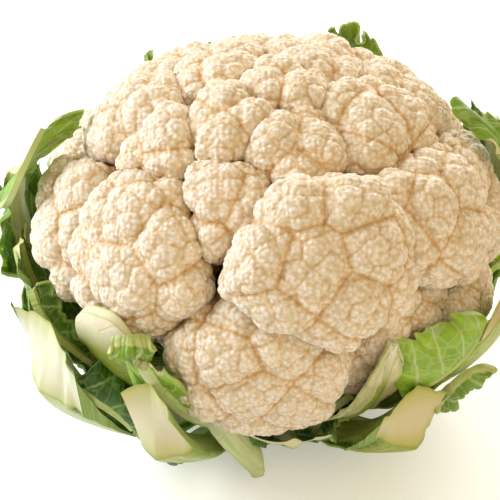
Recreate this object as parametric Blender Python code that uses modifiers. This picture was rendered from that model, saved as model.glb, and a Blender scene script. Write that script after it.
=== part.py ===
"""A trimmed head of cauliflower, standing on the cut end of its stem.

Frame: metres, +Z up, -Y to the front and +X to the right. The origin is the
centre of the stem's cut face, which the head stands on.

The head is built the way it grows. One thick stem ends in a round crown. Every
floret branches off that crown, and each one fills its own share of the space
around the crown's centre. The leaves grow from the stem below the florets, in
three rounds, and they cup the curd from underneath. Their tops are cut off.
"""

import math
from typing import NamedTuple

import bpy
import bmesh
from mathutils import Vector

MM = 0.001

# The curd: an ellipsoid about the point that all the florets branch from.
CURD_HALF_WIDTH = 90 * MM
CURD_HALF_DEPTH = 88 * MM
CURD_HALF_HEIGHT = 71 * MM
BRANCHING_HEIGHT = 83 * MM
CURD_LOWER_EDGE = -42.0  # degrees below the branching point's level

# The stem: a cylinder that the leaves grow from, a neck, and a round crown.
STEM_RADIUS = 27 * MM
STEM_CUT_RADIUS = 25 * MM
STEM_TOP = 31 * MM  # where the cylinder ends and the neck starts
NECK_RADIUS = 19 * MM
CROWN_RADIUS = 28 * MM
CROWN_BELOW_EDGE = 4.0  # degrees that the crown goes on below the curd's lower edge
CROWN_STEPS = 9
STEM_SEGMENTS = 36
# The neck, from the crown's foot to the cylinder: share of the way in, share of
# the way down.
NECK_HOLLOW = (1.0, 0.25)
NECK_FLARE = (0.4, 0.65)

# The florets.
STALK_RADIUS = 8 * MM
SHOULDER = 0.70  # share of a floret's reach where its head is widest
FLORET_SEGMENTS = 12
FLORET_RINGS_DOWN = 11
WIDEST_HALF_ANGLE = 28.0
FULLNESS_ACROSS = 0.62  # 1 makes an elliptical dome, less makes a fuller one
FULLNESS_UP = 0.5
STALK_SHARE = 0.66  # share of a floret's lower rings that form its underside and stalk
UNDERSIDE_CURVE = 2.5  # higher draws the underside in to the stalk sooner
NARROW_STALK = 0.9  # widest that a stalk may be, as a share of its floret
CORNER_SHARPNESS = 12  # how closely a floret follows the corners of its share
FLORET_GAP = 0.6 * MM
SEAT_GAP = 0.4 * MM

# The leaves: each is a thick midrib that thins to a blade at both sides.
RIB_THICKNESS = 8 * MM
BLADE_THICKNESS = 1.8 * MM
LEAF_GAP = 0.4 * MM
ROUND_PITCH = 6.8 * MM  # from one round of leaves down to the next, at the stem
INNER_ATTACHMENT = 23.5 * MM  # height where the innermost round leaves the stem
LEAF_BASE_HALF_WIDTH = 6.4 * MM
LEAF_ALONG = 9
LEAF_ACROSS = 6
OUTWARD_SHARE = 0.34  # share of a leaf's length that runs out from the stem
WIDEST_SHARE = 0.7  # share of its length where a leaf is widest
RIB_SPREAD = 0.8  # share of the half width over which the rib thins to the blade
RIB_CURVE = 1.5  # higher keeps the rib thick further out
LEAF_TURNS_UP = -46.0  # elevation from which a leaf follows the curd

# name, azimuth from the front towards the right, elevation, how many degrees
# wider than its neighbours, how much further it reaches (share of the curd)
FLORETS = [
    ("front_proud", 10, 23, 3, 0.15),
    ("front_low", -4, -8, 4, 0.03),
    ("front_left", -38, 19, 3, 0.03),
    ("front_left_low", -42, -18, -2, -0.26),
    ("left_low", -76, -17, 0, -0.2),
    ("front_right", 54, 24, 3, 0.03),
    ("front_right_low", 37, -9, 1, -0.1),
    ("centre", -15, 36, -4, -0.01),
    ("upper_centre", 8, 53, -1, -0.01),
    ("upper_front_left", -24, 60, -1, 0.0),
    ("upper_small", -50, 47, -5, -0.01),
    ("upper_left", -84, 45, 0, 0.0),
    ("upper_right", 57, 51, 1, 0.01),
    ("left", -71, 13, 0, 0.01),
    ("top_left", -105, 75, 0, 0.01),
    ("top_front", 6, 78, 0, 0.01),
    ("top_back", 122, 73, 0, 0.0),
]
# The far side's florets stand in three even rings:
# name, elevation, first azimuth, step, count
FLORET_RINGS = [
    ("upper_back", 46, 104, 43, 4),
    ("back", 15, 84, 34, 6),
    ("back_low", -19, 69, 36, 6),
]


class Leaf(NamedTuple):
    name: str
    azimuth: float  # at the stem, degrees from the front towards the right
    round_number: int  # 0 leaves the stem highest, 2 lowest
    offset: float  # from the curd to the middle of the leaf, mm
    cut: float  # elevation of the cut end
    half_width: float  # at the widest, mm
    thickness: float  # of the rib at the cut, mm
    drift: float = 0.0  # how far the azimuth changes on the way to the cut
    lean: float = 0.0  # how far the cut end stands further out, mm
    taper: float = 1.0  # width at the cut, as a share of the widest


LEAVES = [
    Leaf("leaf_inner_left", -48, 0, -5, 6, 21, 4, drift=10, lean=11, taper=0.85),
    Leaf("leaf_inner_right", 25, 0, -1, 0, 9, 3, drift=2, taper=0.6),
    Leaf("leaf_inner_side", 100, 0, 6, -4, 18, 4, taper=0.8),
    Leaf("leaf_front_left", -12, 1, -1, -2, 11, 4, drift=-15, lean=8, taper=0.8),
    Leaf("leaf_left", -82, 1, 9, -1, 20, 5, drift=-2, taper=0.8),
    Leaf("leaf_left_back", -127, 1, 11, 14, 26, 4, taper=0.7),
    Leaf("leaf_back", 178, 1, 11, 20, 24, 4, taper=0.8),
    Leaf("leaf_back_right", 138, 1, 11, 14, 25, 4, taper=0.8),
    Leaf("leaf_right", 60, 1, 3, 0, 20, 6, lean=6),
    Leaf("leaf_outer_front", 6, 2, 6, -38, 16, 4, drift=1),
    Leaf("leaf_outer_front_left", -26, 2, 12, -17, 10, 14),
    Leaf("leaf_outer_left_front", -53, 2, 15, -10, 18, 15),
    Leaf("leaf_outer_left", -100, 2, 17, 9, 24, 6, taper=0.8),
    Leaf("leaf_outer_back_left", -152, 2, 18, 23, 24, 4, drift=-4, taper=0.6),
    Leaf("leaf_outer_back_right", 160, 2, 18, 26, 25, 4, drift=2, taper=0.7),
    Leaf("leaf_outer_right", 114, 2, 18, 17, 25, 5, taper=0.7),
    Leaf("leaf_outer_right_front", 35, 2, 11, -22, 16, 17),
]

CURD_COLOUR = (0.87, 0.76, 0.58)
STEM_COLOUR = (0.66, 0.72, 0.42)
LEAF_COLOUR = (0.20, 0.36, 0.08)

BRANCHING_POINT = Vector((0, 0, BRANCHING_HEIGHT))


def direction(azimuth, elevation):
    """Unit vector; azimuth 0 is the front (-Y) and 90 is the right (+X)."""
    azimuth, elevation = math.radians(azimuth), math.radians(elevation)
    level = math.cos(elevation)
    return Vector((level * math.sin(azimuth), -level * math.cos(azimuth), math.sin(elevation)))


def reach(towards, offset=0.0):
    """Distance from the branching point to the curd's ellipsoid, grown by an offset."""
    x = towards.x / (CURD_HALF_WIDTH + offset)
    y = towards.y / (CURD_HALF_DEPTH + offset)
    z = towards.z / (CURD_HALF_HEIGHT + offset)
    return 1 / math.sqrt(x * x + y * y + z * z)


def blend(start, end, share):
    return start + (end - start) * share


def make_material(name, colour, roughness):
    material = bpy.data.materials.new(name)
    material.use_nodes = True
    shader = material.node_tree.nodes["Principled BSDF"]
    shader.inputs["Base Color"].default_value = (*colour, 1)
    shader.inputs["Roughness"].default_value = roughness
    shader.inputs["Metallic"].default_value = 0.0
    return material


def add_object(name, bm, material, collection):
    mesh = bpy.data.meshes.new(name)
    bm.to_mesh(mesh)
    bm.free()
    mesh.shade_smooth()
    mesh.materials.append(material)
    piece = bpy.data.objects.new(name, mesh)
    collection.objects.link(piece)
    return piece


# ---- stem ----


def stem_profile():
    """Radius and height from the top of the crown down to the centre of the cut face."""
    lowest = CURD_LOWER_EDGE - CROWN_BELOW_EDGE
    points = []
    for step in range(CROWN_STEPS + 1):
        angle = math.radians(blend(90, lowest, step / CROWN_STEPS))
        height = BRANCHING_HEIGHT + CROWN_RADIUS * math.sin(angle)
        points.append((CROWN_RADIUS * math.cos(angle), height))
    crown_foot = points[-1][1]
    for inward, down in (NECK_HOLLOW, NECK_FLARE):
        radius = blend(STEM_RADIUS, NECK_RADIUS, inward)
        points.append((radius, blend(crown_foot, STEM_TOP, down)))
    points.append((STEM_RADIUS, STEM_TOP))
    points.append((STEM_RADIUS, STEM_RADIUS - STEM_CUT_RADIUS))
    points.append((STEM_CUT_RADIUS, 0))
    points.append((0, 0))
    return points


def make_stem(material, collection):
    bm = bmesh.new()
    corners = [bm.verts.new((radius, 0, height)) for radius, height in stem_profile()]
    for upper, lower in zip(corners, corners[1:]):
        bm.edges.new((upper, lower))
    stem = add_object("stem", bm, material, collection)
    screw = stem.modifiers.new("Turn", "SCREW")
    screw.steps = screw.render_steps = STEM_SEGMENTS
    screw.use_merge_vertices = True
    screw.merge_threshold = 0.01 * MM
    return stem


# ---- florets ----


def floret_plan():
    """Every floret as name, direction, extra breadth and extra reach."""
    plan = [
        (f"floret_{name}", direction(azimuth, elevation), breadth, proud)
        for name, azimuth, elevation, breadth, proud in FLORETS
    ]
    for name, elevation, first, step, count in FLORET_RINGS:
        for number in range(count):
            towards = direction(first + step * number, elevation)
            plan.append((f"floret_{name}_{number + 1}", towards, 0, 0.0))
    return plan


def shared_borders(axis, breadth, plan):
    """Planes through the branching point that part a floret from its neighbours.

    Each is the direction across the axis to a neighbour, and the angle of the border.
    """
    borders = []
    for _, other, other_breadth, _ in plan:
        between = math.degrees(axis.angle(other, 0))
        if 0 < between < 3 * WIDEST_HALF_ANGLE:
            across = (other - axis * axis.dot(other)).normalized()
            borders.append((across, between / 2 + (breadth - other_breadth) / 2))
    down = Vector((0, 0, -1))
    across = (down - axis * axis.dot(down)).normalized()
    elevation = math.degrees(math.asin(axis.z))
    borders.append((across, elevation - CURD_LOWER_EDGE))
    return borders


def half_angle(sideways, borders):
    """How far a floret may spread in one direction, in radians, with rounded corners."""
    total = math.radians(WIDEST_HALF_ANGLE) ** -CORNER_SHARPNESS
    for across, border in borders:
        facing = sideways.dot(across)
        if facing > 0:
            limit = math.atan(math.tan(math.radians(border)) / facing)
            total += limit**-CORNER_SHARPNESS
    return total ** (-1 / CORNER_SHARPNESS)


def floret_angle(polar, spread):
    """Angle off a floret's axis; polar runs from 0 at the dome to pi at the root."""
    spread -= FLORET_GAP / 2 / (CROWN_RADIUS + SEAT_GAP)
    if polar <= math.pi / 2:
        return spread * math.sin(polar) ** FULLNESS_ACROSS
    stalk = min(STALK_RADIUS / (CROWN_RADIUS + SEAT_GAP), NARROW_STALK * spread)
    down = polar / (math.pi / 2) - 1
    if down < STALK_SHARE:
        return blend(spread, stalk, 1 - (1 - down / STALK_SHARE) ** UNDERSIDE_CURVE)
    return stalk * (1 - down) / (1 - STALK_SHARE)


def floret_distance(polar, top):
    """Distance from the branching point: a dome, its shoulder, the stalk, the root."""
    shoulder = SHOULDER * top
    if polar <= math.pi / 2:
        return blend(shoulder, top, max(math.cos(polar), 0.0) ** FULLNESS_UP)
    down = (polar / (math.pi / 2) - 1) / STALK_SHARE
    return blend(shoulder, CROWN_RADIUS + SEAT_GAP, min(down, 1.0))


def make_floret(name, axis, breadth, proud, plan, material, collection):
    borders = shared_borders(axis, breadth, plan)
    first = axis.orthogonal().normalized()
    second = axis.cross(first)
    bm = bmesh.new()
    bmesh.ops.create_uvsphere(
        bm, u_segments=FLORET_SEGMENTS, v_segments=FLORET_RINGS_DOWN, radius=1
    )
    for vert in bm.verts:
        turn = math.atan2(vert.co.y, vert.co.x)
        polar = math.acos(max(-1.0, min(1.0, vert.co.z)))
        sideways = first * math.cos(turn) + second * math.sin(turn)
        angle = floret_angle(polar, half_angle(sideways, borders))
        towards = axis * math.cos(angle) + sideways * math.sin(angle)
        distance = floret_distance(polar, reach(towards) * (1 + proud))
        vert.co = BRANCHING_POINT + towards * distance
    return add_object(name, bm, material, collection)


# ---- leaves ----


def leaf_section(leaf, share, azimuth):
    """Radius and height of a leaf at one azimuth, from the stem to the cut.

    The first stretch runs out level from the stem and then rises, and the rest
    follows the curd.
    """
    offset = leaf.offset * MM
    if share < OUTWARD_SHARE:
        along = share / OUTWARD_SHARE
        towards = direction(azimuth, LEAF_TURNS_UP)
        distance = reach(towards, offset)
        far = distance * math.hypot(towards.x, towards.y)
        foot = BRANCHING_HEIGHT + distance * towards.z
        attachment = INNER_ATTACHMENT - leaf.round_number * ROUND_PITCH
        level = 1 / LEAF_ALONG / OUTWARD_SHARE
        rise = max(along - level, 0.0) / (1 - level)
        return blend(STEM_RADIUS + LEAF_GAP, far, along), blend(attachment, foot, rise**2)
    along = (share - OUTWARD_SHARE) / (1 - OUTWARD_SHARE)
    towards = direction(azimuth, blend(LEAF_TURNS_UP, leaf.cut, along))
    distance = reach(towards, offset) + leaf.lean * MM * along**2
    return distance * math.hypot(towards.x, towards.y), BRANCHING_HEIGHT + distance * towards.z


def leaf_half_width(leaf, share):
    """A leaf clasps the stem narrowly, widens, and may narrow again to its cut."""
    widest = leaf.half_width * MM
    if share < WIDEST_SHARE:
        eased = math.sin(share / WIDEST_SHARE * math.pi / 2)
        return blend(LEAF_BASE_HALF_WIDTH, widest, eased)
    narrowing = (share - WIDEST_SHARE) / (1 - WIDEST_SHARE)
    return widest * blend(1.0, leaf.taper, narrowing**2)


def leaf_point(leaf, share, across):
    """A point in the middle of a leaf's thickness; across runs from -1 to 1."""
    azimuth = leaf.azimuth + leaf.drift * share
    radius, _ = leaf_section(leaf, share, azimuth)
    azimuth += math.degrees(across * leaf_half_width(leaf, share) / radius)
    radius, height = leaf_section(leaf, share, azimuth)
    turn = math.radians(azimuth)
    return Vector((radius * math.sin(turn), -radius * math.cos(turn), height))


def make_leaf(leaf, material, collection):
    bm = bmesh.new()
    bmesh.ops.create_grid(bm, x_segments=LEAF_ALONG, y_segments=LEAF_ACROSS, size=1)
    thicknesses = {}
    for vert in bm.verts:
        share, across = (vert.co.x + 1) / 2, vert.co.y
        vert.co = leaf_point(leaf, share, across)
        rib = blend(RIB_THICKNESS, leaf.thickness * MM, share)
        edge = min(abs(across) / RIB_SPREAD, 1.0) ** RIB_CURVE
        thicknesses[vert.index] = blend(rib, BLADE_THICKNESS, edge)
    piece = add_object(leaf.name, bm, material, collection)
    group = piece.vertex_groups.new(name="Thickness")
    thickest = max(thicknesses.values())
    for index, thickness in thicknesses.items():
        group.add([index], thickness / thickest, "REPLACE")
    solidify = piece.modifiers.new("Thickness", "SOLIDIFY")
    solidify.thickness = thickest
    solidify.offset = 0
    solidify.vertex_group = group.name
    return piece


def main():
    for existing in list(bpy.data.objects):
        bpy.data.objects.remove(existing)
    head = bpy.data.collections.new("Cauliflower")
    bpy.context.scene.collection.children.link(head)

    make_stem(make_material("Stem", STEM_COLOUR, 0.5), head)
    plan = floret_plan()
    for name, axis, breadth, proud in plan:
        curd = make_material(f"Curd {name}", CURD_COLOUR, 0.6)
        make_floret(name, axis, breadth, proud, plan, curd, head)
    for leaf in LEAVES:
        make_leaf(leaf, make_material(f"Leaf {leaf.name}", LEAF_COLOUR, 0.45), head)


main()
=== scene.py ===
# %% [markdown]
# # A trimmed head of cauliflower
# The head is one thick stem. It branches into florets, whose tops press together
# into the white curd, and trimmed leaves cup the curd from below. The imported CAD
# model gives the place and the size of every floret, of every leaf and of the
# stem. This lesson grows the fine surface on each one and gives it its finish.

import math
from typing import NamedTuple

import bpy
import numpy as np
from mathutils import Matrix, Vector
from mathutils.kdtree import KDTree


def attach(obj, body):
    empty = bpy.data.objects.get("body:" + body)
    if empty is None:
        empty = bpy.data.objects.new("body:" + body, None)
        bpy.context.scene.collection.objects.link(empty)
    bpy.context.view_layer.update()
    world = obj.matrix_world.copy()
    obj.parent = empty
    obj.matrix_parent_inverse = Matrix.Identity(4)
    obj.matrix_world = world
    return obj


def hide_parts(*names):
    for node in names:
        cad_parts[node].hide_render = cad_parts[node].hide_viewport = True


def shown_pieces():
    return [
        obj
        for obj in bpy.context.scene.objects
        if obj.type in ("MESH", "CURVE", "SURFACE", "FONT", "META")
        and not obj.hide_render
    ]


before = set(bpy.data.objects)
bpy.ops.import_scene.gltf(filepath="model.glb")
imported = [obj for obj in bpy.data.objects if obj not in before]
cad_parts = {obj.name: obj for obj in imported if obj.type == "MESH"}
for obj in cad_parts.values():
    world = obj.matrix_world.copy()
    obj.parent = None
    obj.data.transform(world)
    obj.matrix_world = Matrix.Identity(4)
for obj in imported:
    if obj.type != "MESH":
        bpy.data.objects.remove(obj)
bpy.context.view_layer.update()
MM = 0.001
print("CAD nodes:", len(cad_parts))

# %% [markdown]
# ## The head's own shape
# All the florets branch from one point, and together they fill an ellipsoid about
# it. The leaves follow the same ellipsoid, a little further out. These are the
# CAD model's own driving sizes, so every formula below meets the CAD solids.

# %% Driving sizes
CURD_HALF_SIZES = np.array((90, 88, 71)) * MM
BRANCHING_POINT = np.array((0, 0, 83)) * MM
CROWN_RADIUS = 28 * MM
STEM_RADIUS = 27 * MM
STEM_CUT_RADIUS = 25 * MM
FLORET_NODES = sorted(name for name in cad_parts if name.startswith("floret_"))
print("florets:", len(FLORET_NODES))


# %% [markdown]
# ## Small helpers
# Colours are written as the hex values that a colour picker shows, and one
# function turns them into the linear values that Blender's shaders work in.
# Another small function adds one shader node with its settings and its links.

# %% Colour and node helpers
def colour(hex_value):
    """A picked sRGB colour, such as #F2E6D0, as linear red, green, blue and alpha."""
    encoded = [int(hex_value[place : place + 2], 16) / 255 for place in (1, 3, 5)]
    linear = [c / 12.92 if c <= 0.04045 else ((c + 0.055) / 1.055) ** 2.4 for c in encoded]
    return (*linear, 1.0)


def add_node(tree, kind, settings=None, links=None):
    """Adds a node; settings name its properties or inputs, and links feed its inputs."""
    node = tree.nodes.new(kind)
    for name, value in (settings or {}).items():
        if isinstance(name, str) and hasattr(node, name):
            setattr(node, name, value)
        else:
            node.inputs[name].default_value = value
    for name, source in (links or {}).items():
        tree.links.new(source, node.inputs[name])
    return node


def new_material(name):
    """An empty node material: its tree, and its Principled surface wired to the output."""
    material = bpy.data.materials.new(name)
    material.use_nodes = True
    tree = material.node_tree
    tree.nodes.clear()
    surface = add_node(tree, "ShaderNodeBsdfPrincipled")
    add_node(tree, "ShaderNodeOutputMaterial", links={"Surface": surface.outputs["BSDF"]})
    return material, tree, surface


def set_ramp(node, stops):
    """Gives a Color Ramp its stops: place from 0 to 1, and hex colour."""
    stop_points = node.color_ramp.elements
    while len(stop_points) < len(stops):
        stop_points.new(1.0)
    for point, (place, hex_value) in zip(stop_points, stops):
        point.position = place
        point.color = colour(hex_value)


# %% Mesh helpers
def add_object(name, mesh):
    """Puts a mesh into the scene as an object of that name."""
    piece = bpy.data.objects.new(name, mesh)
    bpy.context.scene.collection.objects.link(piece)
    return piece


def points_of(mesh):
    """The mesh's points, one row each, in metres."""
    places = np.empty(len(mesh.vertices) * 3, np.float32)
    mesh.vertices.foreach_get("co", places)
    return places.reshape(-1, 3).astype(float)


def normals_of(mesh):
    """The direction out of the surface at each point."""
    directions = np.empty(len(mesh.vertices) * 3, np.float32)
    mesh.vertex_normals.foreach_get("vector", directions)
    return directions.reshape(-1, 3).astype(float)


def set_points(mesh, places):
    mesh.vertices.foreach_set("co", places.astype(np.float32).ravel())
    mesh.update()


def set_attribute(mesh, name, values):
    """Stores one number for each point, which a finish can read by its name."""
    attribute = mesh.attributes.new(name, "FLOAT", "POINT")
    attribute.data.foreach_set("value", values.astype(np.float32))


def print_faces(ending):
    """Says how many pieces have this ending in their names, and how many faces."""
    faces = [len(piece.data.polygons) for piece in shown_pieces() if piece.name.endswith(ending)]
    print(f"{ending}: {len(faces)} pieces, {sum(faces)} faces")


def remeshed(mesh, voxel):
    """A new mesh of even small faces around the same volume; the old one is removed."""
    holder = add_object("remesh", mesh)
    remesh = holder.modifiers.new("Remesh", "REMESH")
    remesh.mode = "VOXEL"
    remesh.voxel_size = voxel
    ready = holder.evaluated_get(bpy.context.evaluated_depsgraph_get())
    result = bpy.data.meshes.new_from_object(ready)
    bpy.data.objects.remove(holder)
    bpy.data.meshes.remove(mesh)
    return result


# %% [markdown]
# ## The curd's surface
# A cauliflower's curd is thousands of flower buds that never opened, and it is
# built like a fern: lumps on lumps on lumps. Each floret carries lumps about 18 mm
# across, each lump carries knobs of about 6.5 mm, and each knob is a cluster of
# buds about 2 mm across. A bump map alone would look painted on at the outline and in
# the creases. So the surface is grown in three rounds. In each round seeds are
# strewn over the mesh, the surface swells into a dome around every seed, and the
# skin is remeshed finer, so that the next round grows out of the last one's domes.

# %% Growth rounds
class Growth(NamedTuple):
    name: str
    skin: float  # size of the mesh faces that this round moves
    spacing: float  # between neighbouring seeds
    height: float  # from a crease to the top of a dome
    roundness: float  # 0 is a flat-topped pillow, 1 is a ball


LUMPS = Growth("lumps", 1.5 * MM, 18 * MM, 4.0 * MM, 0.45)
KNOBS = Growth("knobs", 0.95 * MM, 6.5 * MM, 1.4 * MM, 0.45)
BUDS = Growth("buds", 0.52 * MM, 2.0 * MM, 0.5 * MM, 0.6)
PRESSED = 0.66  # how much of a crown's rounding is left where florets crowd each other
SWELL = 1.5 * MM  # closes the gap that the CAD solids keep between them
# Buds are really about 1.5 mm across. They are drawn a little coarser so that they show.
STALK_TOP = 0.40  # share of a floret's reach up to which it is smooth stalk
CROWN_EASE = 0.16  # share of the reach over which the stalk turns into crown
CREASE_WIDTH = 0.75  # of the slope beside a crease, as a share of the spacing
BALL_RADIUS = 0.8  # of a dome's rounding, as a share of the spacing
SUNK = 0.55  # how far a crease lies below the old surface, as a share of the height
VIGOUR = (0.7, 1.25)  # the weakest and the strongest dome, as a share of the height
FLORET_DRAWS = 7  # a floret's random draws start from this and its place in the list
CELL_ROW = 4096  # more small cubes of space than fit across the head
FEWEST_POINTS = 3  # a cube with no more points than this gets no seed


def strew_seeds(places, spacing, chance):
    """Picks points at random, each at least one spacing from the others."""
    order = chance.permutation(len(places))
    free = np.ones(len(places), bool)
    seeds = []
    for index in order:
        if free[index]:
            seeds.append(index)
            free &= np.square(places - places[index]).sum(axis=1) > spacing * spacing
    return np.array(seeds)


def strew_fine_seeds(places, spacing):
    """One seed for each small cube of space: quick where there are thousands."""
    cells = np.floor(places / spacing).astype(np.int64)
    keys = (cells[:, 0] * CELL_ROW + cells[:, 1]) * CELL_ROW + cells[:, 2]
    _, first, owner, count = np.unique(
        keys, return_index=True, return_inverse=True, return_counts=True
    )
    centres = np.zeros((len(first), 3))
    np.add.at(centres, owner.ravel(), places)
    enough = count > FEWEST_POINTS
    return centres[enough] / count[enough, None]


def nearest_two(places, seed_places):
    """For each point, the nearest seed, and the distances to the nearest two."""
    tree = KDTree(len(seed_places))
    for index, place in enumerate(seed_places):
        tree.insert(place, index)
    tree.balance()
    found = [tree.find_n(place, 2) for place in places]
    owner = np.array([pair[0][1] for pair in found])
    first = np.array([pair[0][2] for pair in found])
    second = np.array([pair[1][2] for pair in found])
    return owner, first, second


def dome_heights(first, second, growth):
    """0 in the creases and 1 at the domes' tops; and how far a point is from a crease."""
    from_crease = np.clip((second - first) / (CREASE_WIDTH * growth.spacing), 0, 1)
    pillow = np.sqrt(1 - (1 - from_crease) ** 2)
    ball = np.sqrt(np.clip(1 - (first / (BALL_RADIUS * growth.spacing)) ** 2, 0, 1))
    return pillow * (1 - growth.roundness) + pillow * ball * growth.roundness, from_crease


def crown_share(places, top):
    """1 on a floret's crown, falling to 0 on the smooth stalk beneath it."""
    reach = np.linalg.norm(places - BRANCHING_POINT, axis=1) / top
    return np.clip((reach - STALK_TOP) / CROWN_EASE, 0, 1)


def press_together(mesh, top):
    """Neighbouring florets crowd each other, so their crowns flatten and nearly touch."""
    places, outward = points_of(mesh), normals_of(mesh)
    from_root = places - BRANCHING_POINT
    reach = np.linalg.norm(from_root, axis=1)
    crowded = 1 - (1 - PRESSED) * crown_share(places, top)
    pressed = top - (top - reach) * crowded
    set_points(mesh, BRANCHING_POINT + from_root * (pressed / reach)[:, None] + outward * SWELL)


def grow(mesh, growth, top, chance):
    """One round of growth; returns the seeds' new places."""
    places, outward = points_of(mesh), normals_of(mesh)
    if growth is BUDS:
        seed_places = strew_fine_seeds(places, growth.spacing)
    else:
        seed_places = places[strew_seeds(places, growth.spacing, chance)]
    owner, first, second = nearest_two(places, seed_places)
    dome, _ = dome_heights(first, second, growth)
    vigour = chance.uniform(*VIGOUR, len(seed_places))[owner]
    rise = (dome * vigour - SUNK) * growth.height * crown_share(places, top)
    set_points(mesh, places + outward * rise[:, None])
    return seed_places


# %% One floret
def mark_creases(mesh, growths_and_seeds, top):
    """Stores, for the finish, how far each point is from each round's creases."""
    places = points_of(mesh)
    for growth, seed_places in growths_and_seeds:
        _, first, second = nearest_two(places, seed_places)
        set_attribute(mesh, growth.name, dome_heights(first, second, growth)[1])
    # The finish paints shade deep between the florets by this reach.
    reach = np.linalg.norm(places - BRANCHING_POINT, axis=1) / top
    set_attribute(mesh, "reach", reach)


def grow_floret(name, finish):
    """Grows one floret's surface out of its CAD solid."""
    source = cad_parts[name].data.copy()
    chance = np.random.default_rng(FLORET_NODES.index(name) + FLORET_DRAWS)
    top = np.linalg.norm(points_of(source) - BRANCHING_POINT, axis=1).max()
    mesh = remeshed(source, LUMPS.skin)
    press_together(mesh, top)
    grown = []
    for growth in ((LUMPS, KNOBS, BUDS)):
        if growth is not LUMPS:
            mesh = remeshed(mesh, growth.skin)
        seeds = grow(mesh, growth, top, chance)
        grown.append((growth, seeds))
    mark_creases(mesh, grown, top)
    mesh.shade_smooth()
    mesh.materials.clear()
    mesh.materials.append(finish)
    floret = add_object(f"{name}_curd", mesh)
    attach(floret, "root")
    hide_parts(name)
    return floret


# %% [markdown]
# ## Curd finish
# Curd is dense, white plant flesh under a thin waxy skin. Light enters it a little
# way and comes out warmer, so it is slightly translucent. Its creases and the deep gaps between
# florets are painted golden and brown as shade, and the gaps between buds a darker tan. It is
# matt: the buds scatter the light.

# %% Curd finish
BUD_SPACING = 1.6 * MM  # close to a bud's real size; the mesh carries the coarser ones


def make_curd():
    material, tree, surface = new_material("Fresh curd, packed flower buds")
    lumps, knobs, buds, reach = (
        add_node(tree, "ShaderNodeAttribute", {"attribute_name": name}).outputs["Fac"]
        for name in ("lumps", "knobs", "buds", "reach")
    )
    place = add_node(tree, "ShaderNodeNewGeometry").outputs["Position"]
    bud_cells = add_node(
        tree,
        "ShaderNodeTexVoronoi",
        {"feature": "SMOOTH_F1", "Scale": 1 / BUD_SPACING, "Smoothness": 0.25},
        {"Vector": place},
    )
    # Each bud's top is the curd's own pale cream; the gaps between buds are painted darker tan as
    # shade.
    bud_colour_and_gap_shade = add_node(tree, "ShaderNodeValToRGB", links={"Fac": bud_cells.outputs["Distance"]})
    set_ramp(bud_colour_and_gap_shade, [(0.1, "#F8F2E8"), (0.4, "#ECE0CC"), (0.75, "#DAC8A8")])
    # Painted shade: the creases between knobs and between lumps are darkened towards gold.
    knob_crease_shade = add_node(tree, "ShaderNodeValToRGB", links={"Fac": knobs})
    set_ramp(knob_crease_shade, [(0.0, "#EED9B8"), (0.1, "#F9F0E0"), (0.3, "#FFFFFF")])
    lump_crease_shade = add_node(tree, "ShaderNodeValToRGB", links={"Fac": lumps})
    set_ramp(lump_crease_shade, [(0.0, "#DDBA88"), (0.05, "#F2E1C6"), (0.16, "#FFFFFF")])
    # Painted shade: the deep gaps between the florets, near the branching point, are darkened to
    # brown.
    painted_depth_shade = add_node(tree, "ShaderNodeValToRGB", links={"Fac": reach})
    set_ramp(painted_depth_shade, [(0.5, "#8A5A35"), (0.76, "#D9B27A"), (0.88, "#FFFFFF")])
    tone = bud_colour_and_gap_shade.outputs["Color"]
    for layer in (knob_crease_shade, lump_crease_shade, painted_depth_shade):
        shaded = add_node(
            tree,
            "ShaderNodeMix",
            {"data_type": "RGBA", "blend_type": "MULTIPLY", 0: 1.0},
            {6: tone, 7: layer.outputs["Color"]},
        )
        tone = shaded.outputs[2]
    tree.links.new(tone, surface.inputs["Base Color"])
    surface.inputs["Roughness"].default_value = 0.62
    surface.inputs["Subsurface Weight"].default_value = 0.25
    surface.inputs["Subsurface Radius"].default_value = (1.0, 0.62, 0.32)
    surface.inputs["Subsurface Scale"].default_value = 1.6 * MM
    bump = add_node(
        tree,
        "ShaderNodeBump",
        {"Strength": 0.9, "Distance": 0.5 * MM, "invert": True},
        {"Height": bud_cells.outputs["Distance"]},
    )
    tree.links.new(bump.outputs["Normal"], surface.inputs["Normal"])
    return material


curd = make_curd()
for node_name in FLORET_NODES:
    grow_floret(node_name, curd)
print_faces("_curd")

# %% [markdown]
# ## The leaves' shape
# A cauliflower leaf is a thick fleshy midrib with a thin blade on both sides. It
# leaves the stem low down, runs outwards and turns up along the curd, and its top
# is cut or torn off. Each leaf is a grid of points in the middle of its thickness,
# which bends with the curd as its CAD solid does. The grid is then ruffled at its
# margins, blistered between the side veins, and thickened to a closed solid.

# %% Growing plan of the leaves
LEAF_TURNS_UP = -46.0  # elevation from which a leaf follows the curd, degrees
OUTWARD_SHARE = 0.34  # share of a leaf's length that runs out from the stem
WIDEST_SHARE = 0.7  # share of a leaf's length at which it is widest
LEAF_BASE_HALF_WIDTH = 6.4  # at the stem, mm
LEAF_GAP = 0.4 * MM  # between the stem and a leaf's foot
ROUND_PITCH = 6.8 * MM  # how much lower each round leaves the stem
INNER_ATTACHMENT = 23.5 * MM  # height at which the innermost round leaves it
ROWS_ALONG = 84
ROWS_ACROSS = 56
ROWS_THROUGH = 6


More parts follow.
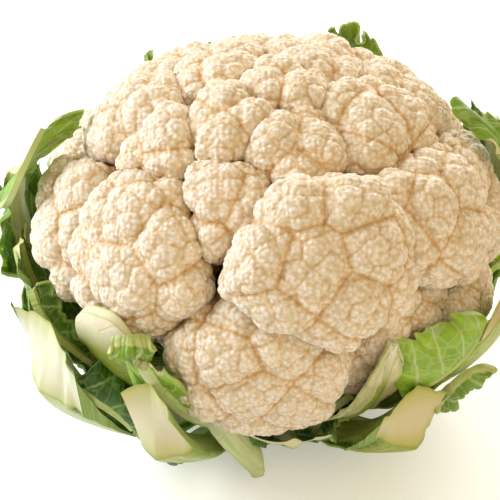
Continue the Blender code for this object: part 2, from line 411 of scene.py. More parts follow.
class Leaf(NamedTuple):
    node: str
    azimuth: float  # at the stem, degrees from the front towards the right
    round_number: int  # 0 leaves the stem highest, 2 lowest
    offset: float  # from the curd to the middle of the leaf, mm
    cut: float  # elevation of the cut end, degrees
    half_width: float  # at the widest, mm
    thickness: float  # of the midrib at the cut, mm
    drift: float = 0.0  # how far the azimuth changes on the way to the cut
    lean: float = 0.0  # how far the cut end stands further out, mm
    taper: float = 1.0  # width at the cut, as a share of the widest
    youth: float = 0.15  # 0 is a dark outer leaf, 1 is a cream-coloured inner one
    greened: float = 0.3  # how far light has turned the midrib's pale skin olive
    rib: float = 6.5  # half the midrib's width at the cut, mm
    rib_base: float = 7.7  # and at the stem, mm
    base_thickness: float = 8.0  # of the midrib at the stem, mm
    ruffle: float = 3.0  # how far the margins wave in and out, mm
    ragged: float = 0.08  # how far the margin and the torn end are uneven, as a share
    slant: float = 3.0  # how much further the knife left the inner side standing, mm
    skew: float = 0.0  # how much lower the knife cut the right side, mm
    rounded: float = 0.0  # how far the cut end's corners fall back, as a share


LEAVES = [
    Leaf("leaf_inner_left", -48, 0, -5, 6, 21, 4, drift=10, lean=11, taper=0.85, youth=0.85,
         greened=0.2, rib=19, ruffle=0.5, ragged=0.0, slant=1, skew=-2, rounded=0.16),
    Leaf("leaf_inner_right", 25, 0, -1, 0, 9, 3, drift=2, taper=0.1, youth=1.0, greened=0.0,
         rib=1.5, rib_base=2.0, base_thickness=4.0, ruffle=0.8, slant=0),
    Leaf("leaf_inner_side", 100, 0, 6, -4, 18, 4, taper=0.8, youth=0.6),
    Leaf("leaf_front_left", -12, 1, -1, -2, 11, 4, drift=-15, lean=8, taper=0.8, youth=0.5,
         ruffle=1.2, rib=3, slant=1),
    Leaf("leaf_left", -82, 1, 9, -1, 20, 5, drift=-2, taper=0.8, greened=0.9, rib=4),
    Leaf("leaf_left_back", -127, 1, 11, 14, 26, 4, taper=0.7, youth=0.35, ruffle=4),
    Leaf("leaf_back", 178, 1, 11, 20, 24, 4, taper=0.8, youth=0.4, ruffle=4),
    Leaf("leaf_back_right", 138, 1, 11, 14, 25, 4, taper=0.8, ruffle=4),
    Leaf("leaf_right", 60, 1, 3, 0, 20, 6, lean=6, taper=0.75, youth=0.6, greened=0.75,
         rib=17, ruffle=0.6, ragged=0.0, slant=0, rounded=0.1),
    Leaf("leaf_outer_front", 6, 2, 6, -38, 16, 4, drift=1, youth=0.0, ruffle=2.5, rib=3),
    Leaf("leaf_outer_front_left", -26, 2, 12, -17, 10, 14, greened=0.5, rib=11,
         ruffle=0.4, ragged=0.0, slant=32, rounded=0.04),
    Leaf("leaf_outer_left_front", -53, 2, 15, -10, 18, 15, greened=0.1, rib=15, ruffle=0.4,
         ragged=0.03, slant=24, skew=6),
    Leaf("leaf_outer_left", -100, 2, 17, 9, 24, 6, taper=0.8, youth=0.2, greened=0.5,
         rib=10, ruffle=4),
    Leaf("leaf_outer_back_left", -152, 2, 18, 23, 24, 4, drift=-4, taper=0.6, ruffle=4),
    Leaf("leaf_outer_back_right", 160, 2, 18, 26, 25, 4, drift=2, taper=0.7, ruffle=4),
    Leaf("leaf_outer_right", 114, 2, 18, 17, 25, 5, taper=0.7, ruffle=4),
    Leaf("leaf_outer_right_front", 35, 2, 11, -22, 16, 17, greened=0.9, rib=15, ruffle=0.4,
         ragged=0.03, slant=22, skew=5),
]
print("leaves:", len(LEAVES))


# %% A leaf's place on the head
def blend(start, end, share):
    return start + (end - start) * share


def direction(azimuth, elevation):
    """Unit vectors; azimuth 0 is the front (-Y) and 90 is the right (+X)."""
    azimuth, elevation = np.radians(azimuth), np.radians(elevation)
    level = np.cos(elevation)
    parts = (level * np.sin(azimuth), -level * np.cos(azimuth), np.sin(elevation))
    return np.stack(np.broadcast_arrays(*parts), axis=-1)


def reach(towards, offset):
    """Distance from the branching point to the curd's ellipsoid, grown by an offset."""
    return 1 / np.sqrt(np.square(towards / (CURD_HALF_SIZES + offset)).sum(axis=-1))


def leaf_section(leaf, share, azimuth):
    """Radius and height of a leaf: out from the stem, and then up along the curd."""
    offset = leaf.offset * MM
    out = np.clip(share / OUTWARD_SHARE, 0, 1)
    towards = direction(azimuth, LEAF_TURNS_UP)
    distance = reach(towards, offset)
    far = distance * np.hypot(towards[..., 0], towards[..., 1])
    foot = BRANCHING_POINT[2] + distance * towards[..., 2]
    attachment = INNER_ATTACHMENT - leaf.round_number * ROUND_PITCH
    low_radius = blend(STEM_RADIUS + LEAF_GAP, far, out)
    low_height = blend(attachment, foot, out**2)
    along = np.clip((share - OUTWARD_SHARE) / (1 - OUTWARD_SHARE), 0, None)
    towards = direction(azimuth, blend(LEAF_TURNS_UP, leaf.cut, along))
    distance = reach(towards, offset) + leaf.lean * MM * along**2
    high_radius = distance * np.hypot(towards[..., 0], towards[..., 1])
    high_height = BRANCHING_POINT[2] + distance * towards[..., 2]
    low = share < OUTWARD_SHARE
    return np.where(low, low_radius, high_radius), np.where(low, low_height, high_height)


def leaf_places(leaf, share, across):
    """Points in the middle of a leaf's thickness; across is in mm from the midrib."""
    azimuth = leaf.azimuth + leaf.drift * share
    radius, _ = leaf_section(leaf, share, azimuth)
    azimuth = azimuth + np.degrees(across * MM / radius)
    radius, height = leaf_section(leaf, share, azimuth)
    turn = np.radians(azimuth)
    return np.stack((radius * np.sin(turn), -radius * np.cos(turn), height), axis=-1)


# %% [markdown]
# ## Making a leaf lifelike
# Three things make a blade look alive. Its margin grows faster than its middle, so
# it has too much length and waves in and out. It bulges between the side veins,
# which leave the midrib every 13 mm. And its outline is never smooth: it is toothed
# and nibbled, and where the top was torn off it is jagged.

# %% Waves, veins and thickness
VEIN_SPACING = 13.0  # mm
VEIN_SLOPE = 0.85  # how far a side vein climbs for each mm that it runs out
BLADE_THICKNESS = 0.9  # mm
BLISTER = 0.55  # how deep the blade sinks between two side veins, mm
LEFT_WAVE = 34  # longest wave of the left margin, mm
RIGHT_WAVE = 29
SLANT_START = 0.55  # share of the length from which the cut's slant spreads
SHARP_ANGLE = 50  # edges that turn by more than this stay crisp, degrees


def wander(places, longest, chance):
    """A smooth wandering line between about -1 and 1; longest is its longest wave."""
    waves = [
        np.sin(places * 2 * math.pi / (longest * share) + chance.uniform(0, 2 * math.pi))
        for share in (1.0, 0.61, 0.37)
    ]
    return (waves[0] + 0.7 * waves[1] + 0.5 * waves[2]) / 1.6


def outward_normals(middle):
    """Unit normals of a grid of points, on the side away from the curd."""
    along = np.gradient(middle, axis=0)
    across = np.gradient(middle, axis=1)
    normals = np.cross(across, along)
    return normals / np.linalg.norm(normals, axis=-1, keepdims=True)


def lengths_along(middle):
    """Distance in mm of each grid point from the grid's first row, along the midrib."""
    rib = middle[:, middle.shape[1] // 2]
    steps = np.linalg.norm(np.diff(rib, axis=0), axis=1)
    return np.concatenate(([0], np.cumsum(steps))) / MM


class Skin(NamedTuple):
    """What the finish needs to know at every point of a leaf."""

    along: np.ndarray
    across: np.ndarray
    rib: np.ndarray
    side: np.ndarray
    margin: np.ndarray
    from_cut: np.ndarray
    youth: float
    greened: float


def liven(middle, across, width_left, width_right, leaf, chance):
    """Ruffles and blisters a grid, and works out its thickness and its skin."""
    along = lengths_along(middle)[:, None] + np.zeros_like(across)
    width = np.where(across < 0, width_left, width_right)
    from_rib = np.abs(across)
    outness = np.clip(from_rib / width, 0, 1)
    rib_half = blend(leaf.rib_base, leaf.rib, np.clip(along / along.max(), 0, 1))
    rib = np.clip(1 - from_rib / np.minimum(rib_half, width), 0, 1) ** 0.5
    side = (along - VEIN_SLOPE * from_rib) / VEIN_SPACING + np.where(across < 0, 0.5, 0.0)
    between_veins = np.abs(np.mod(side, 1) - 0.5) * 2
    left, right = wander(along, LEFT_WAVE, chance), wander(along, RIGHT_WAVE, chance)
    waves = np.where(across < 0, left, right)
    normals = outward_normals(middle)
    rise = leaf.ruffle * waves * outness**2.2
    rise = rise - BLISTER * between_veins**2 * (1 - rib) * (1 - outness**4)
    livened = middle + normals * rise[..., None] * MM
    thick = blend(leaf.base_thickness, leaf.thickness, along / along.max())
    thickness = blend(BLADE_THICKNESS, thick, rib**1.3)
    skin = Skin(
        along, across, rib, side, width - from_rib, along.max() - along, leaf.youth, leaf.greened
    )
    return livened, thickness, skin


# %% [markdown]
# A solid leaf is the grid once outside and once inside, joined by rounded margins
# and by an end face at the foot and at the cut. The knife's cut face has rows of its
# own through the thickness, because its flesh is paler away from the skin.

# %% Close a leaf
def leaf_solid(name, middle, thickness, skin, slant, skew):
    """A closed mesh with the skin's values as attributes, and the cut face as slot 1."""
    rows, columns = thickness.shape
    normals = outward_normals(middle)
    forward = middle[-1] - middle[-4]
    forward = forward / np.linalg.norm(forward, axis=-1, keepdims=True)
    past_start = (np.arange(rows) / (rows - 1) - SLANT_START) / (1 - SLANT_START)
    end_share = np.clip(past_start, 0, 1)[:, None, None] ** 2
    sideways = np.linspace(-1, 1, columns)[None, :, None]
    layers = []
    for level in np.linspace(-1, 1, ROWS_THROUGH):
        shift = forward[None] * (-level * slant / 2 - sideways * skew) * MM
        outward = normals * (thickness * level / 2 * MM)[..., None]
        layers.append(middle + outward + shift * end_share)
    places = np.stack(layers)
    number = np.full(places.shape[:3], -1)
    shell = np.zeros(places.shape[:3], bool)
    shell[0] = shell[-1] = True
    shell[:, 0] = shell[:, -1] = True
    shell[:, :, 0] = shell[:, :, -1] = True
    number[shell] = np.arange(shell.sum())
    faces, cut_faces = [], []

    def add_sheet(grid, flip, target):
        """Adds the four-cornered faces of one sheet of the grid's point numbers."""
        corners = np.stack((grid[:-1, :-1], grid[1:, :-1], grid[1:, 1:], grid[:-1, 1:]), axis=-1)
        corners = corners.reshape(-1, 4)
        target.extend((corners[:, ::-1] if flip else corners).tolist())

    add_sheet(number[-1], False, faces)
    add_sheet(number[0], True, faces)
    add_sheet(number[:, :, 0], True, faces)
    add_sheet(number[:, :, -1], False, faces)
    add_sheet(number[:, 0], False, faces)
    add_sheet(number[:, -1], True, cut_faces)
    mesh = bpy.data.meshes.new(name)
    mesh.from_pydata(places[shell].tolist(), [], faces + cut_faces)
    mesh.validate()
    from_skin = 1 - np.abs(np.linspace(-1, 1, ROWS_THROUGH))[:, None, None]
    for attribute, values in {**skin._asdict(), "from_skin": from_skin}.items():
        set_attribute(mesh, attribute, np.broadcast_to(values, places.shape[:3])[shell])
    kinds = np.zeros(len(mesh.polygons), np.int32)
    kinds[len(faces):] = 1
    mesh.materials.append(leaf_skin)
    mesh.materials.append(cut_flesh)
    mesh.polygons.foreach_set("material_index", kinds)
    mesh.shade_smooth()
    mesh.set_sharp_from_angle(angle=math.radians(SHARP_ANGLE))
    return add_object(name, mesh)


def settle(piece, node):
    """Fastens a piece to the head, in place of a CAD node."""
    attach(piece, "root")
    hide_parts(node)


# %% [markdown]
# ## Leaf finish
# The blade is a thin skin of wax over dark green tissue, so it has a soft shine.
# Its veins are pale and make a net: side veins, and a finer net of about 5 mm
# between them. The midrib is watery, whitish green flesh. Light makes it olive, and
# darkness keeps it pale. Young inner leaves have hardly any green in them; lower down their
# midribs are painted olive as the shade of the hollow under the curd.

# %% Leaf finish
NET_SPACING = 5.0  # of the finer net of veins, mm
PATCH_SPACING = 14  # of lighter and darker patches, mm
FINE_SPACING = 2.2  # of the unevenness that makes the veins wobble, mm
VEIN_WOBBLE = 0.12  # as a share of the side veins' spacing


def make_leaf_skin():
    material, tree, surface = new_material("Waxy leaf skin over a fleshy midrib")
    along, across, rib, side, margin, from_cut, youth, greened = (
        add_node(tree, "ShaderNodeAttribute", {"attribute_name": name}).outputs["Fac"]
        for name in ("along", "across", "rib", "side", "margin", "from_cut", "youth", "greened")
    )

    def mixed(factor, first, second):
        """Blends two colours; each can be a hex value or another node's output."""
        node = add_node(tree, "ShaderNodeMix", {"data_type": "RGBA"})
        for socket, value in ((0, factor), (6, first), (7, second)):
            if isinstance(value, str):
                node.inputs[socket].default_value = colour(value)
            elif isinstance(value, float):
                node.inputs[socket].default_value = value
            else:
                tree.links.new(value, node.inputs[socket])
        return node.outputs[2]

    def ranged(value, low, high, to_low=0.0, to_high=1.0):
        """Spreads the values from low to high over 0 to 1, or over another range."""
        node = add_node(
            tree, "ShaderNodeMapRange", {1: low, 2: high, 3: to_low, 4: to_high}, {0: value}
        )
        return node.outputs[0]

    def calculated(operation, first, second):
        """One step of arithmetic on a node's output."""
        node = add_node(tree, "ShaderNodeMath", {"operation": operation})
        for socket, value in ((0, first), (1, second)):
            if isinstance(value, float):
                node.inputs[socket].default_value = value
            else:
                tree.links.new(value, node.inputs[socket])
        return node.outputs[0]

    flat = add_node(tree, "ShaderNodeCombineXYZ", links={0: along, 1: across}).outputs[0]
    patches = add_node(
        tree,
        "ShaderNodeTexNoise",
        {"Scale": 1 / PATCH_SPACING, "Detail": 4.0, "Roughness": 0.6},
        {"Vector": flat},
    ).outputs["Fac"]
    fine = add_node(
        tree, "ShaderNodeTexNoise", {"Scale": 1 / FINE_SPACING, "Detail": 3.0}, {"Vector": flat}
    ).outputs["Fac"]
    # The node also adds its own 0.5, which draws a vein where the blade stands furthest out.
    wobble = calculated("MULTIPLY_ADD", fine, VEIN_WOBBLE)
    wobbly_side = calculated("ADD", side, wobble)
    to_vein = calculated("PINGPONG", wobbly_side, 0.5)
    side_vein = ranged(to_vein, 0.025, 0.075, 1.0, 0.0)
    net_cells = add_node(
        tree,
        "ShaderNodeTexVoronoi",
        {"feature": "DISTANCE_TO_EDGE", "Scale": 1 / NET_SPACING},
        {"Vector": flat},
    ).outputs["Distance"]
    net = ranged(net_cells, 0.02, 0.09, 0.45, 0.0)
    vein = calculated("MAXIMUM", side_vein, net)

    dark = mixed(ranged(patches, 0.35, 0.65), "#173A0E", "#35741A")
    young = mixed(ranged(patches, 0.35, 0.65), "#7CA61C", "#A5CC30")
    creamy = mixed(ranged(patches, 0.35, 0.65), "#D2CC92", "#E4DDB4")
    half_grown = mixed(ranged(youth, 0.0, 0.6), dark, young)
    blade = mixed(ranged(youth, 0.6, 1.0), half_grown, creamy)
    vein_colour = mixed(youth, "#8FB766", "#E4E8BE")
    veined = mixed(calculated("MULTIPLY", vein, 0.75), blade, vein_colour)
    at_margin = mixed(ranged(margin, 0.3, 1.2, 0.55, 0.0), veined, "#A8C268")
    # Streaks run along the midrib: 25 mm long and about 1.4 mm wide.
    drawn_out = add_node(
        tree, "ShaderNodeVectorMath", {"operation": "MULTIPLY", 1: (0.04, 0.7, 1)}, {0: flat}
    )
    streaks = add_node(
        tree,
        "ShaderNodeTexNoise",
        {"Scale": 1.0, "Detail": 3.0},
        {"Vector": drawn_out.outputs[0]},
    ).outputs["Fac"]
    pale = mixed(ranged(streaks, 0.35, 0.65), "#BCCB8E", "#D6DFB4")
    olive = mixed(ranged(streaks, 0.35, 0.65), "#8E9F2B", "#B3C055")
    grown = mixed(greened, pale, olive)
    # The midrib of a young inner leaf is cream at its top and turns olive green from 20 mm below
    # it: painted shade where it sinks into the hollow under the curd.
    inner = mixed(ranged(from_cut, 3.0, 20.0), "#EDE3C6", "#8F9E34")
    petiole = mixed(ranged(youth, 0.7, 0.85), grown, inner)
    skin_colour = mixed(ranged(rib, 0.12, 0.45), at_margin, petiole)
    tree.links.new(skin_colour, surface.inputs["Base Color"])
    surface.inputs["Roughness"].default_value = 0.42
    surface.inputs["Subsurface Weight"].default_value = 0.22
    surface.inputs["Subsurface Radius"].default_value = (0.8, 1.0, 0.25)
    surface.inputs["Subsurface Scale"].default_value = 1.2 * MM
    bump = add_node(
        tree,
        "ShaderNodeBump",
        {"Strength": 0.5, "Distance": 0.4 * MM},
        {"Height": calculated("ADD", vein, calculated("MULTIPLY", fine, 0.4))},
    )
    tree.links.new(bump.outputs["Normal"], surface.inputs["Normal"])
    return material


# %% [markdown]
# ## Cut flesh
# Where the knife went through a midrib the flesh is bare: wet, whitish and dotted
# with the ends of the strings that carry water, with a green line just under the
# skin.

# %% Cut flesh finish
STRING_SPACING = 1.5 * MM


def make_cut_flesh():
    material, tree, surface = new_material("Knife-cut midrib flesh")
    from_skin, across = (
        add_node(tree, "ShaderNodeAttribute", {"attribute_name": name}).outputs["Fac"]
        for name in ("from_skin", "across")
    )
    greened = add_node(tree, "ShaderNodeAttribute", {"attribute_name": "greened"}).outputs["Fac"]
    pale = add_node(tree, "ShaderNodeValToRGB", links={"Fac": from_skin})
    set_ramp(pale, [(0.0, "#AEBE62"), (0.14, "#CFD6A2"), (0.6, "#DEDFC4")])
    olive = add_node(tree, "ShaderNodeValToRGB", links={"Fac": from_skin})
    set_ramp(olive, [(0.0, "#8F9A24"), (0.2, "#BDB856"), (0.75, "#D2C596")])
    flesh = add_node(
        tree,
        "ShaderNodeMix",
        {"data_type": "RGBA"},
        {0: greened, 6: pale.outputs["Color"], 7: olive.outputs["Color"]},
    )
    tree.links.new(flesh.outputs[2], surface.inputs["Base Color"])
    surface.inputs["Roughness"].default_value = 0.45
    surface.inputs["Subsurface Weight"].default_value = 0.3
    surface.inputs["Subsurface Scale"].default_value = 2 * MM
    place = add_node(tree, "ShaderNodeNewGeometry").outputs["Position"]
    strings = add_node(
        tree, "ShaderNodeTexNoise", {"Scale": 1 / STRING_SPACING, "Detail": 3.0}, {"Vector": place}
    )
    bump = add_node(
        tree,
        "ShaderNodeBump",
        {"Strength": 0.35, "Distance": 0.3 * MM},
        {"Height": strings.outputs["Fac"]},
    )
    tree.links.new(bump.outputs["Normal"], surface.inputs["Normal"])
    return material


leaf_skin = make_leaf_skin()
cut_flesh = make_cut_flesh()

# %% [markdown]
# ## Grow the leaves
# Every leaf follows its own line in the plan. Its width swells from the stem to
# its widest place and narrows again to the cut.

# %% Grow every leaf
LEAF_DRAWS = 101  # a leaf's random draws start from this and its place in the list
NOMINAL_LENGTH = 100  # mm; with the next value it sets how many waves a margin has
MARGIN_WAVE = 23
NOMINAL_WIDTH = 40  # mm; the same for the torn end
TORN_WAVE = 24


def half_widths(leaf, share, chance):
    """Blade width to the left and to the right of the midrib, in mm."""
    eased = np.sin(np.clip(share / WIDEST_SHARE, 0, 1) * math.pi / 2)
    width = blend(LEAF_BASE_HALF_WIDTH, leaf.half_width, eased)
    narrowing = np.clip((share - WIDEST_SHARE) / (1 - WIDEST_SHARE), 0, None)
    width = width * blend(1.0, leaf.taper, narrowing**2)
    uneven = leaf.ragged * np.clip(share * 3, 0, 1)
    along = share * NOMINAL_LENGTH
    return [width * (1 + uneven * wander(along, MARGIN_WAVE, chance)) for _ in ("left", "right")]


def grow_leaf(leaf):
    """Grows one leaf from its line in the plan, in place of its CAD solid."""
    chance = np.random.default_rng(LEAVES.index(leaf) + LEAF_DRAWS)
    share = np.linspace(0, 1, ROWS_ALONG)[:, None]
    side = np.linspace(-1, 1, ROWS_ACROSS)[None, :]
    left, right = half_widths(leaf, share, chance)
    jagged = wander(side * NOMINAL_WIDTH, TORN_WAVE, chance) - 0.5
    torn = leaf.ragged * 0.5 * jagged * np.abs(side)
    share = share * (1 + torn - leaf.rounded * np.abs(side) ** 3)
    across = side * np.where(side < 0, left, right)
    middle = leaf_places(leaf, share, across)
    middle, thickness, skin = liven(middle, across, left, right, leaf, chance)
    piece = leaf_solid(f"{leaf.node}_grown", middle, thickness, skin, leaf.slant, leaf.skew)
    settle(piece, leaf.node)
    return piece


for leaf in LEAVES:
    grow_leaf(leaf)
print_faces("_grown")

# %% [markdown]
# ## Wings, folds and curls
# The thick stubs in front keep scraps of blade at their sides, and some blades have
# folded or rolled up. Such a scrap doesn't follow the curd, so it is drawn as a
# dressmaker would: by its two long edges, each a smooth curve through a few corners,
# with the blade stretched and arched between them.

# %% Scraps of blade
class Scrap(NamedTuple):
    name: str
    node: str  # the leaf that it grows from
    first_edge: list  # corners in mm, along the midrib or vein that it grows from
    second_edge: list  # corners in mm, along the free margin
    arch: float = 2.0  # how far the middle stands out, mm
    youth: float = 0.1
    greened: float = 0.6
    rib: float = 1.6  # half the width of the thick vein along the first edge, mm
    rib_base: float = 2.4
    thickness: float = 2.0  # of that vein, mm
    base_thickness: float = 2.8
    ruffle: float = 1.5
    ragged: float = 0.1


# Most corners of the first seven were worked out outside this script, from picked places and
# a guessed depth, and rounded to whole mm. They are copied numbers and no design of their own.
SCRAPS = [
    Scrap("wing_left_front", "leaf_outer_left_front",
          [(-72, -66, 56), (-65, -68, 51), (-58, -68, 45), (-51, -68, 37)],
          [(-67, -62, 64), (-59, -60, 59), (-51, -62, 53), (-45, -64, 47)],
          arch=4, youth=0.05),
    Scrap("curl_front_left", "leaf_front_left",
          [(-42, -80, 87), (-47, -82, 89), (-53, -82, 88)],
          [(-42, -79, 80), (-47, -81, 80), (-54, -80, 81)],
          arch=5, youth=0.4, ruffle=0.6, ragged=0.25),
    Scrap("foot_front_left", "leaf_outer_front_left",
          [(-49, -66, 38), (-42, -66, 31), (-32, -62, 24), (-24, -58, 19)],
          [(-49, -64, 30), (-42, -63, 22), (-33, -60, 16), (-25, -56, 12)],
          arch=3, youth=0.05, ruffle=2.5, ragged=0.2),
    Scrap("wing_right_front", "leaf_outer_right_front",
          [(58, -60, 43), (64, -58, 49), (69, -56, 53), (80, -50, 52)],
          [(63, -58, 38), (71, -56, 42), (75, -54, 45), (81, -50, 50)],
          arch=4, youth=0.3, ruffle=2.0, ragged=0.2),
    Scrap("fold_right", "leaf_right",
          [(48, -68, 54), (59, -66, 59), (69, -62, 67), (75, -57, 78)],
          [(39, -68, 61), (40, -71, 77), (52, -68, 81), (64, -60, 87)],
          arch=3, youth=0.55, greened=0.7, ruffle=1.0, ragged=0.12),
    Scrap("strip_front", "leaf_outer_front",
          [(29, -62, 48), (23, -62, 42), (18, -58, 32), (17, -54, 23)],
          [(33, -62, 45), (28, -61, 37), (24, -56, 26), (20, -51, 16)],
          arch=-4, youth=0.0, ragged=0.15),
    Scrap("stub_front_left", "leaf_front_left",
          [(-6, -58, 7), (-13, -63, 20), (-19, -66, 31), (-24, -68, 42)],
          [(-3, -56, 16), (-8, -59, 27), (-13, -62, 36), (-20, -64, 46)],
          arch=3, youth=0.3, greened=0.1, rib=9, rib_base=9, thickness=3, base_thickness=5,
          ruffle=0.8),
    Scrap("wing_left", "leaf_outer_left",
          [(-104, -8, 96), (-96, -22, 108), (-89, -27, 122), (-82, -18, 134)],
          [(-98, -2, 108), (-86, -6, 116), (-75, -4, 126), (-65, 0, 134)],
          arch=3, youth=0.45, ruffle=2.0, ragged=0.15),
    Scrap("wing_right", "leaf_outer_right",
          [(103, 16, 98), (97, 0, 108), (89, -12, 116), (82, -18, 124)],
          [(97, 18, 112), (88, 4, 124), (76, -4, 133), (60, -6, 138)],
          arch=3, youth=0.35, ruffle=2.5, ragged=0.15),
    Scrap("tip_back", "leaf_outer_back_right",
          [(24, 92, 122), (38, 87, 120), (52, 79, 116)],
          [(22, 74, 136), (34, 75, 139), (48, 70, 132)],
          arch=2, youth=0.45, ruffle=2.5, ragged=0.2),
    Scrap("fold_left", "leaf_outer_left_front",
          [(-87, -47, 84), (-82, -52, 74), (-74, -54, 64), (-66, -54, 56)],
          [(-80, -44, 88), (-77, -46, 78), (-71, -50, 68), (-64, -51, 60)],
          arch=-3, youth=0.15, ruffle=1.2, ragged=0.15),
]


def smooth_path(corners, count):
    """A smooth curve through up to five corners in mm, as evenly spaced as they are."""
    corners = np.array(corners, float) * MM
    spans = np.linalg.norm(np.diff(corners, axis=0), axis=1)
    place = np.concatenate(([0], np.cumsum(spans))) / spans.sum()
    curves = np.polyfit(place, corners, len(corners) - 1)
    share = np.linspace(0, 1, count)[:, None]
    return sum(curve * share**power for power, curve in enumerate(curves[::-1]))


SCRAP_DRAWS = 301  # as for the leaves
SCRAP_LENGTH = 70  # mm; with the next value it sets how many waves a margin has
SCRAP_WAVE = 19
TIP_WIDTH = 0.35  # of a scrap at both its ends, as a share of its width
TIP_EASE = 6  # how fast it widens from there


def grow_scrap(scrap):
    """Stretches a blade between a scrap's two edges and fastens it to its leaf."""
    chance = np.random.default_rng(SCRAPS.index(scrap) + SCRAP_DRAWS)
    first = smooth_path(scrap.first_edge, ROWS_ALONG)[:, None]
    second = smooth_path(scrap.second_edge, ROWS_ALONG)[:, None]
    side = np.linspace(0, 1, ROWS_ACROSS)[None, :]
    width = np.linalg.norm(second - first, axis=-1) / MM
    ends = np.minimum(np.linspace(0, 1, ROWS_ALONG), np.linspace(1, 0, ROWS_ALONG))[:, None]
    along = np.linspace(0, SCRAP_LENGTH, ROWS_ALONG)[:, None]
    uneven = 1 + scrap.ragged * wander(along, SCRAP_WAVE, chance)
    narrowed = uneven * np.clip(TIP_WIDTH + ends * TIP_EASE, 0, 1)
    middle = first + (second - first) * (side * narrowed)[..., None]
    across = side * width * narrowed
    normals = outward_normals(middle)
    facing = np.sign((normals * (middle - BRANCHING_POINT)).sum())
    bulge = scrap.arch * (1 - (2 * side - 1) ** 2) * facing
    middle = middle + normals * bulge[..., None] * MM
    middle, thickness, skin = liven(middle, across, width, width * narrowed, scrap, chance)
    piece = leaf_solid(f"{scrap.name}_scrap", middle, thickness, skin, 0, 0)
    settle(piece, scrap.node)
    return piece


for scrap in SCRAPS:
    grow_scrap(scrap)
print_faces("_scrap")

# %% [markdown]
# ## The stem
# The stem is cut off flat where the head was harvested. Its skin is pale green and
# ridged under every leaf, and its cut face shows a ring of strings around softer
# pith, with brown places where it has dried.

# %% Grow the stem
STEM_RIDGES = 9
RIDGE_TWIST = 9 * MM  # the smaller, the more often a ridge swings from side to side
RIM = 4 * MM  # height over which the ridges fade in above the cut face
STEM_DRAWS = 5
STEM_SKIN = 1.2 * MM  # size of the mesh faces
MOTTLE_SPACING = 9 * MM


def grow_stem():
    """Grows ridges on the stem's side and leaves its cut face flat."""
    chance = np.random.default_rng(STEM_DRAWS)
    mesh = remeshed(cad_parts["stem"].data.copy(), STEM_SKIN)
    places, outward = points_of(mesh), normals_of(mesh)
    turn = np.arctan2(places[:, 0], -places[:, 1])
    height = places[:, 2]
    ridges = np.cos(turn * STEM_RIDGES + 2 * np.sin(height / RIDGE_TWIST))
    upright = np.clip(height / RIM, 0, 1) * (1 - np.abs(outward[:, 2]))
    uneven = wander(turn * 20 + height / MM, 24, chance)
    rise = (0.5 * ridges + 0.4 * uneven - 0.5) * MM * upright
    set_points(mesh, places + outward * rise[:, None])
    mesh.shade_smooth()
    mesh.materials.clear()
    mesh.materials.append(make_stem_skin())
    stem = add_object("stem_grown", mesh)
    settle(stem, "stem")
    print("stem faces:", len(mesh.polygons))


def make_stem_skin():
    material, tree, surface = new_material("Stem skin and dried cut pith")
    place = add_node(tree, "ShaderNodeNewGeometry").outputs["Position"]
    parts = add_node(tree, "ShaderNodeSeparateXYZ", links={0: place})
    flat = add_node(
        tree, "ShaderNodeVectorMath", {"operation": "MULTIPLY", 1: (1, 1, 0)}, {0: place}
    )
    radius = add_node(tree, "ShaderNodeVectorMath", {"operation": "LENGTH"}, {0: flat.outputs[0]})
    rings = add_node(
        tree,
        "ShaderNodeMapRange",
        {1: 0.0, 2: STEM_CUT_RADIUS},
        {0: radius.outputs["Value"]},
    )
    face = add_node(tree, "ShaderNodeValToRGB", links={"Fac": rings.outputs[0]})
    inside = [(0.0, "#D9CFA4"), (0.66, "#E6E0BE")]
    ring_and_rim = [(0.74, "#B79A5E"), (0.84, "#DDDDB0"), (1.0, "#8FA05A")]
    set_ramp(face, inside + ring_and_rim)
    mottle = add_node(
        tree, "ShaderNodeTexNoise", {"Scale": 1 / MOTTLE_SPACING, "Detail": 5.0}, {"Vector": place}
    )
    skin = add_node(tree, "ShaderNodeValToRGB", links={"Fac": mottle.outputs["Fac"]})
    set_ramp(skin, [(0.35, "#A9BC72"), (0.55, "#C6D29A"), (0.7, "#DCE2B8")])
    on_skin = add_node(
        tree, "ShaderNodeMapRange", {1: 0.3 * MM, 2: 1.0 * MM}, {0: parts.outputs["Z"]}
    )
    both = add_node(
        tree,
        "ShaderNodeMix",
        {"data_type": "RGBA"},
        {0: on_skin.outputs[0], 6: face.outputs["Color"], 7: skin.outputs["Color"]},
    )
    tree.links.new(both.outputs[2], surface.inputs["Base Color"])
    surface.inputs["Roughness"].default_value = 0.5
    surface.inputs["Subsurface Weight"].default_value = 0.2
    surface.inputs["Subsurface Scale"].default_value = 1.5 * MM
    bump = add_node(
        tree,
        "ShaderNodeBump",
        {"Strength": 0.4, "Distance": 0.4 * MM},
        {"Height": mottle.outputs["Fac"]},
    )
    tree.links.new(bump.outputs["Normal"], surface.inputs["Normal"])
    return material


grow_stem()

# %% [markdown]
# ## Floor
# The head lies on a wide sheet of matt white paper. Where the camera sees the paper
# it glows a little, so that it stays white, but it adds no light to the head.

# %% Floor
FLOOR_HALF = 3  # half the side of the sheet, m
FLOOR_GLOW = 0.3

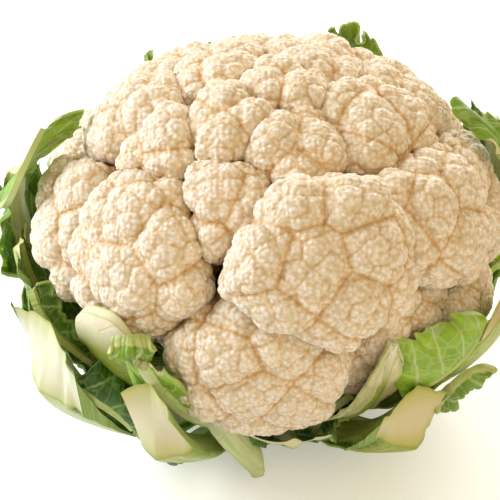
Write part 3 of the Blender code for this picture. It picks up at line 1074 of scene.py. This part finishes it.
floor_finish, floor_tree, floor_surface = new_material("White paper sweep")
floor_surface.inputs["Base Color"].default_value = colour("#F6F8FA")
floor_surface.inputs["Roughness"].default_value = 0.9
floor_surface.inputs["Emission Color"].default_value = (1, 1, 1, 1)
floor_seen = add_node(floor_tree, "ShaderNodeLightPath").outputs["Is Camera Ray"]
glow = add_node(
    floor_tree, "ShaderNodeMath", {"operation": "MULTIPLY", 1: FLOOR_GLOW}, {0: floor_seen}
)
floor_tree.links.new(glow.outputs[0], floor_surface.inputs["Emission Strength"])
floor_mesh = bpy.data.meshes.new("floor")
corner_signs = ((-1, -1), (1, -1), (1, 1), (-1, 1))
floor_corners = [(FLOOR_HALF * x, FLOOR_HALF * y, 0) for x, y in corner_signs]
floor_mesh.from_pydata(floor_corners, [], [(0, 1, 2, 3)])
floor_mesh.materials.append(floor_finish)
floor = add_object("floor", floor_mesh)
print("floor:", 2 * FLOOR_HALF, "m square")

# %% [markdown]
# ## Light
# A tent of warm white cloth stands round the head and fills its shadows. Three round
# softboxes shine into it: a cool key at the left, which draws the lumps of the curd,
# a white one behind, and a large warm one in front that lights the leaves.

# %% Light
world = bpy.data.worlds.new("Light tent")
bpy.context.scene.world = world
world.use_nodes = True
sky = world.node_tree.nodes["Background"]
seen = add_node(world.node_tree, "ShaderNodeLightPath").outputs["Is Camera Ray"]
tent = add_node(
    world.node_tree,
    "ShaderNodeMix",
    {"data_type": "RGBA", 6: colour("#B4A68C"), 7: (1, 1, 1, 1)},
    {0: seen},
)
world.node_tree.links.new(tent.outputs[2], sky.inputs["Color"])


def add_softbox(name, place, target, size, watts, tint):
    """A round softbox, size across, that faces its target; lengths are in metres."""
    data = bpy.data.lights.new(name, "AREA")
    data.shape = "DISK"
    data.size = size
    data.energy = watts
    data.color = colour(tint)[:3]
    light = bpy.data.objects.new(name, data)
    light.location = place
    light.rotation_euler = (Vector(target) - Vector(place)).to_track_quat("-Z", "Y").to_euler()
    bpy.context.scene.collection.objects.link(light)


add_softbox("key", (-0.7, 0.05, 0.5), (0, 0, 0.08), 0.6, 8.5, "#E8F0FF")
add_softbox("back", (0.4, 0.8, 0.6), (0.1, -0.1, 0.0), 0.6, 8, "#FFFFFF")
add_softbox("front", (0.5, -0.85, 0.8), (0, 0, 0.08), 0.9, 4.5, "#FFE4BC")
print("softboxes:", [light.name for light in bpy.data.lights])

# %% [markdown]
# ## Camera
# A long lens looks down at the head from the front, so that the curd's top and the
# leaves around its foot both show.

# %% Camera
CAMERA_LENS = 75  # mm
CAMERA_SENSOR = 36  # mm
CAMERA_TARGET = Vector((-8, 0, 72.5)) * MM
CAMERA_ELEVATION = 31  # degrees
CAMERA_DISTANCE = 0.42  # m

camera_data = bpy.data.cameras.new("camera")
camera_data.lens = CAMERA_LENS
camera_data.sensor_width = CAMERA_SENSOR
camera = bpy.data.objects.new("camera", camera_data)
bpy.context.scene.collection.objects.link(camera)
rise = math.radians(CAMERA_ELEVATION)
away = Vector((0, -math.cos(rise), math.sin(rise)))
camera.location = CAMERA_TARGET + CAMERA_DISTANCE * away
camera.rotation_euler = (CAMERA_TARGET - camera.location).to_track_quat("-Z", "Y").to_euler()
bpy.context.scene.camera = camera
bpy.context.scene.view_settings.view_transform = "Standard"
print("camera stands at:", [round(value, 3) for value in camera.location])
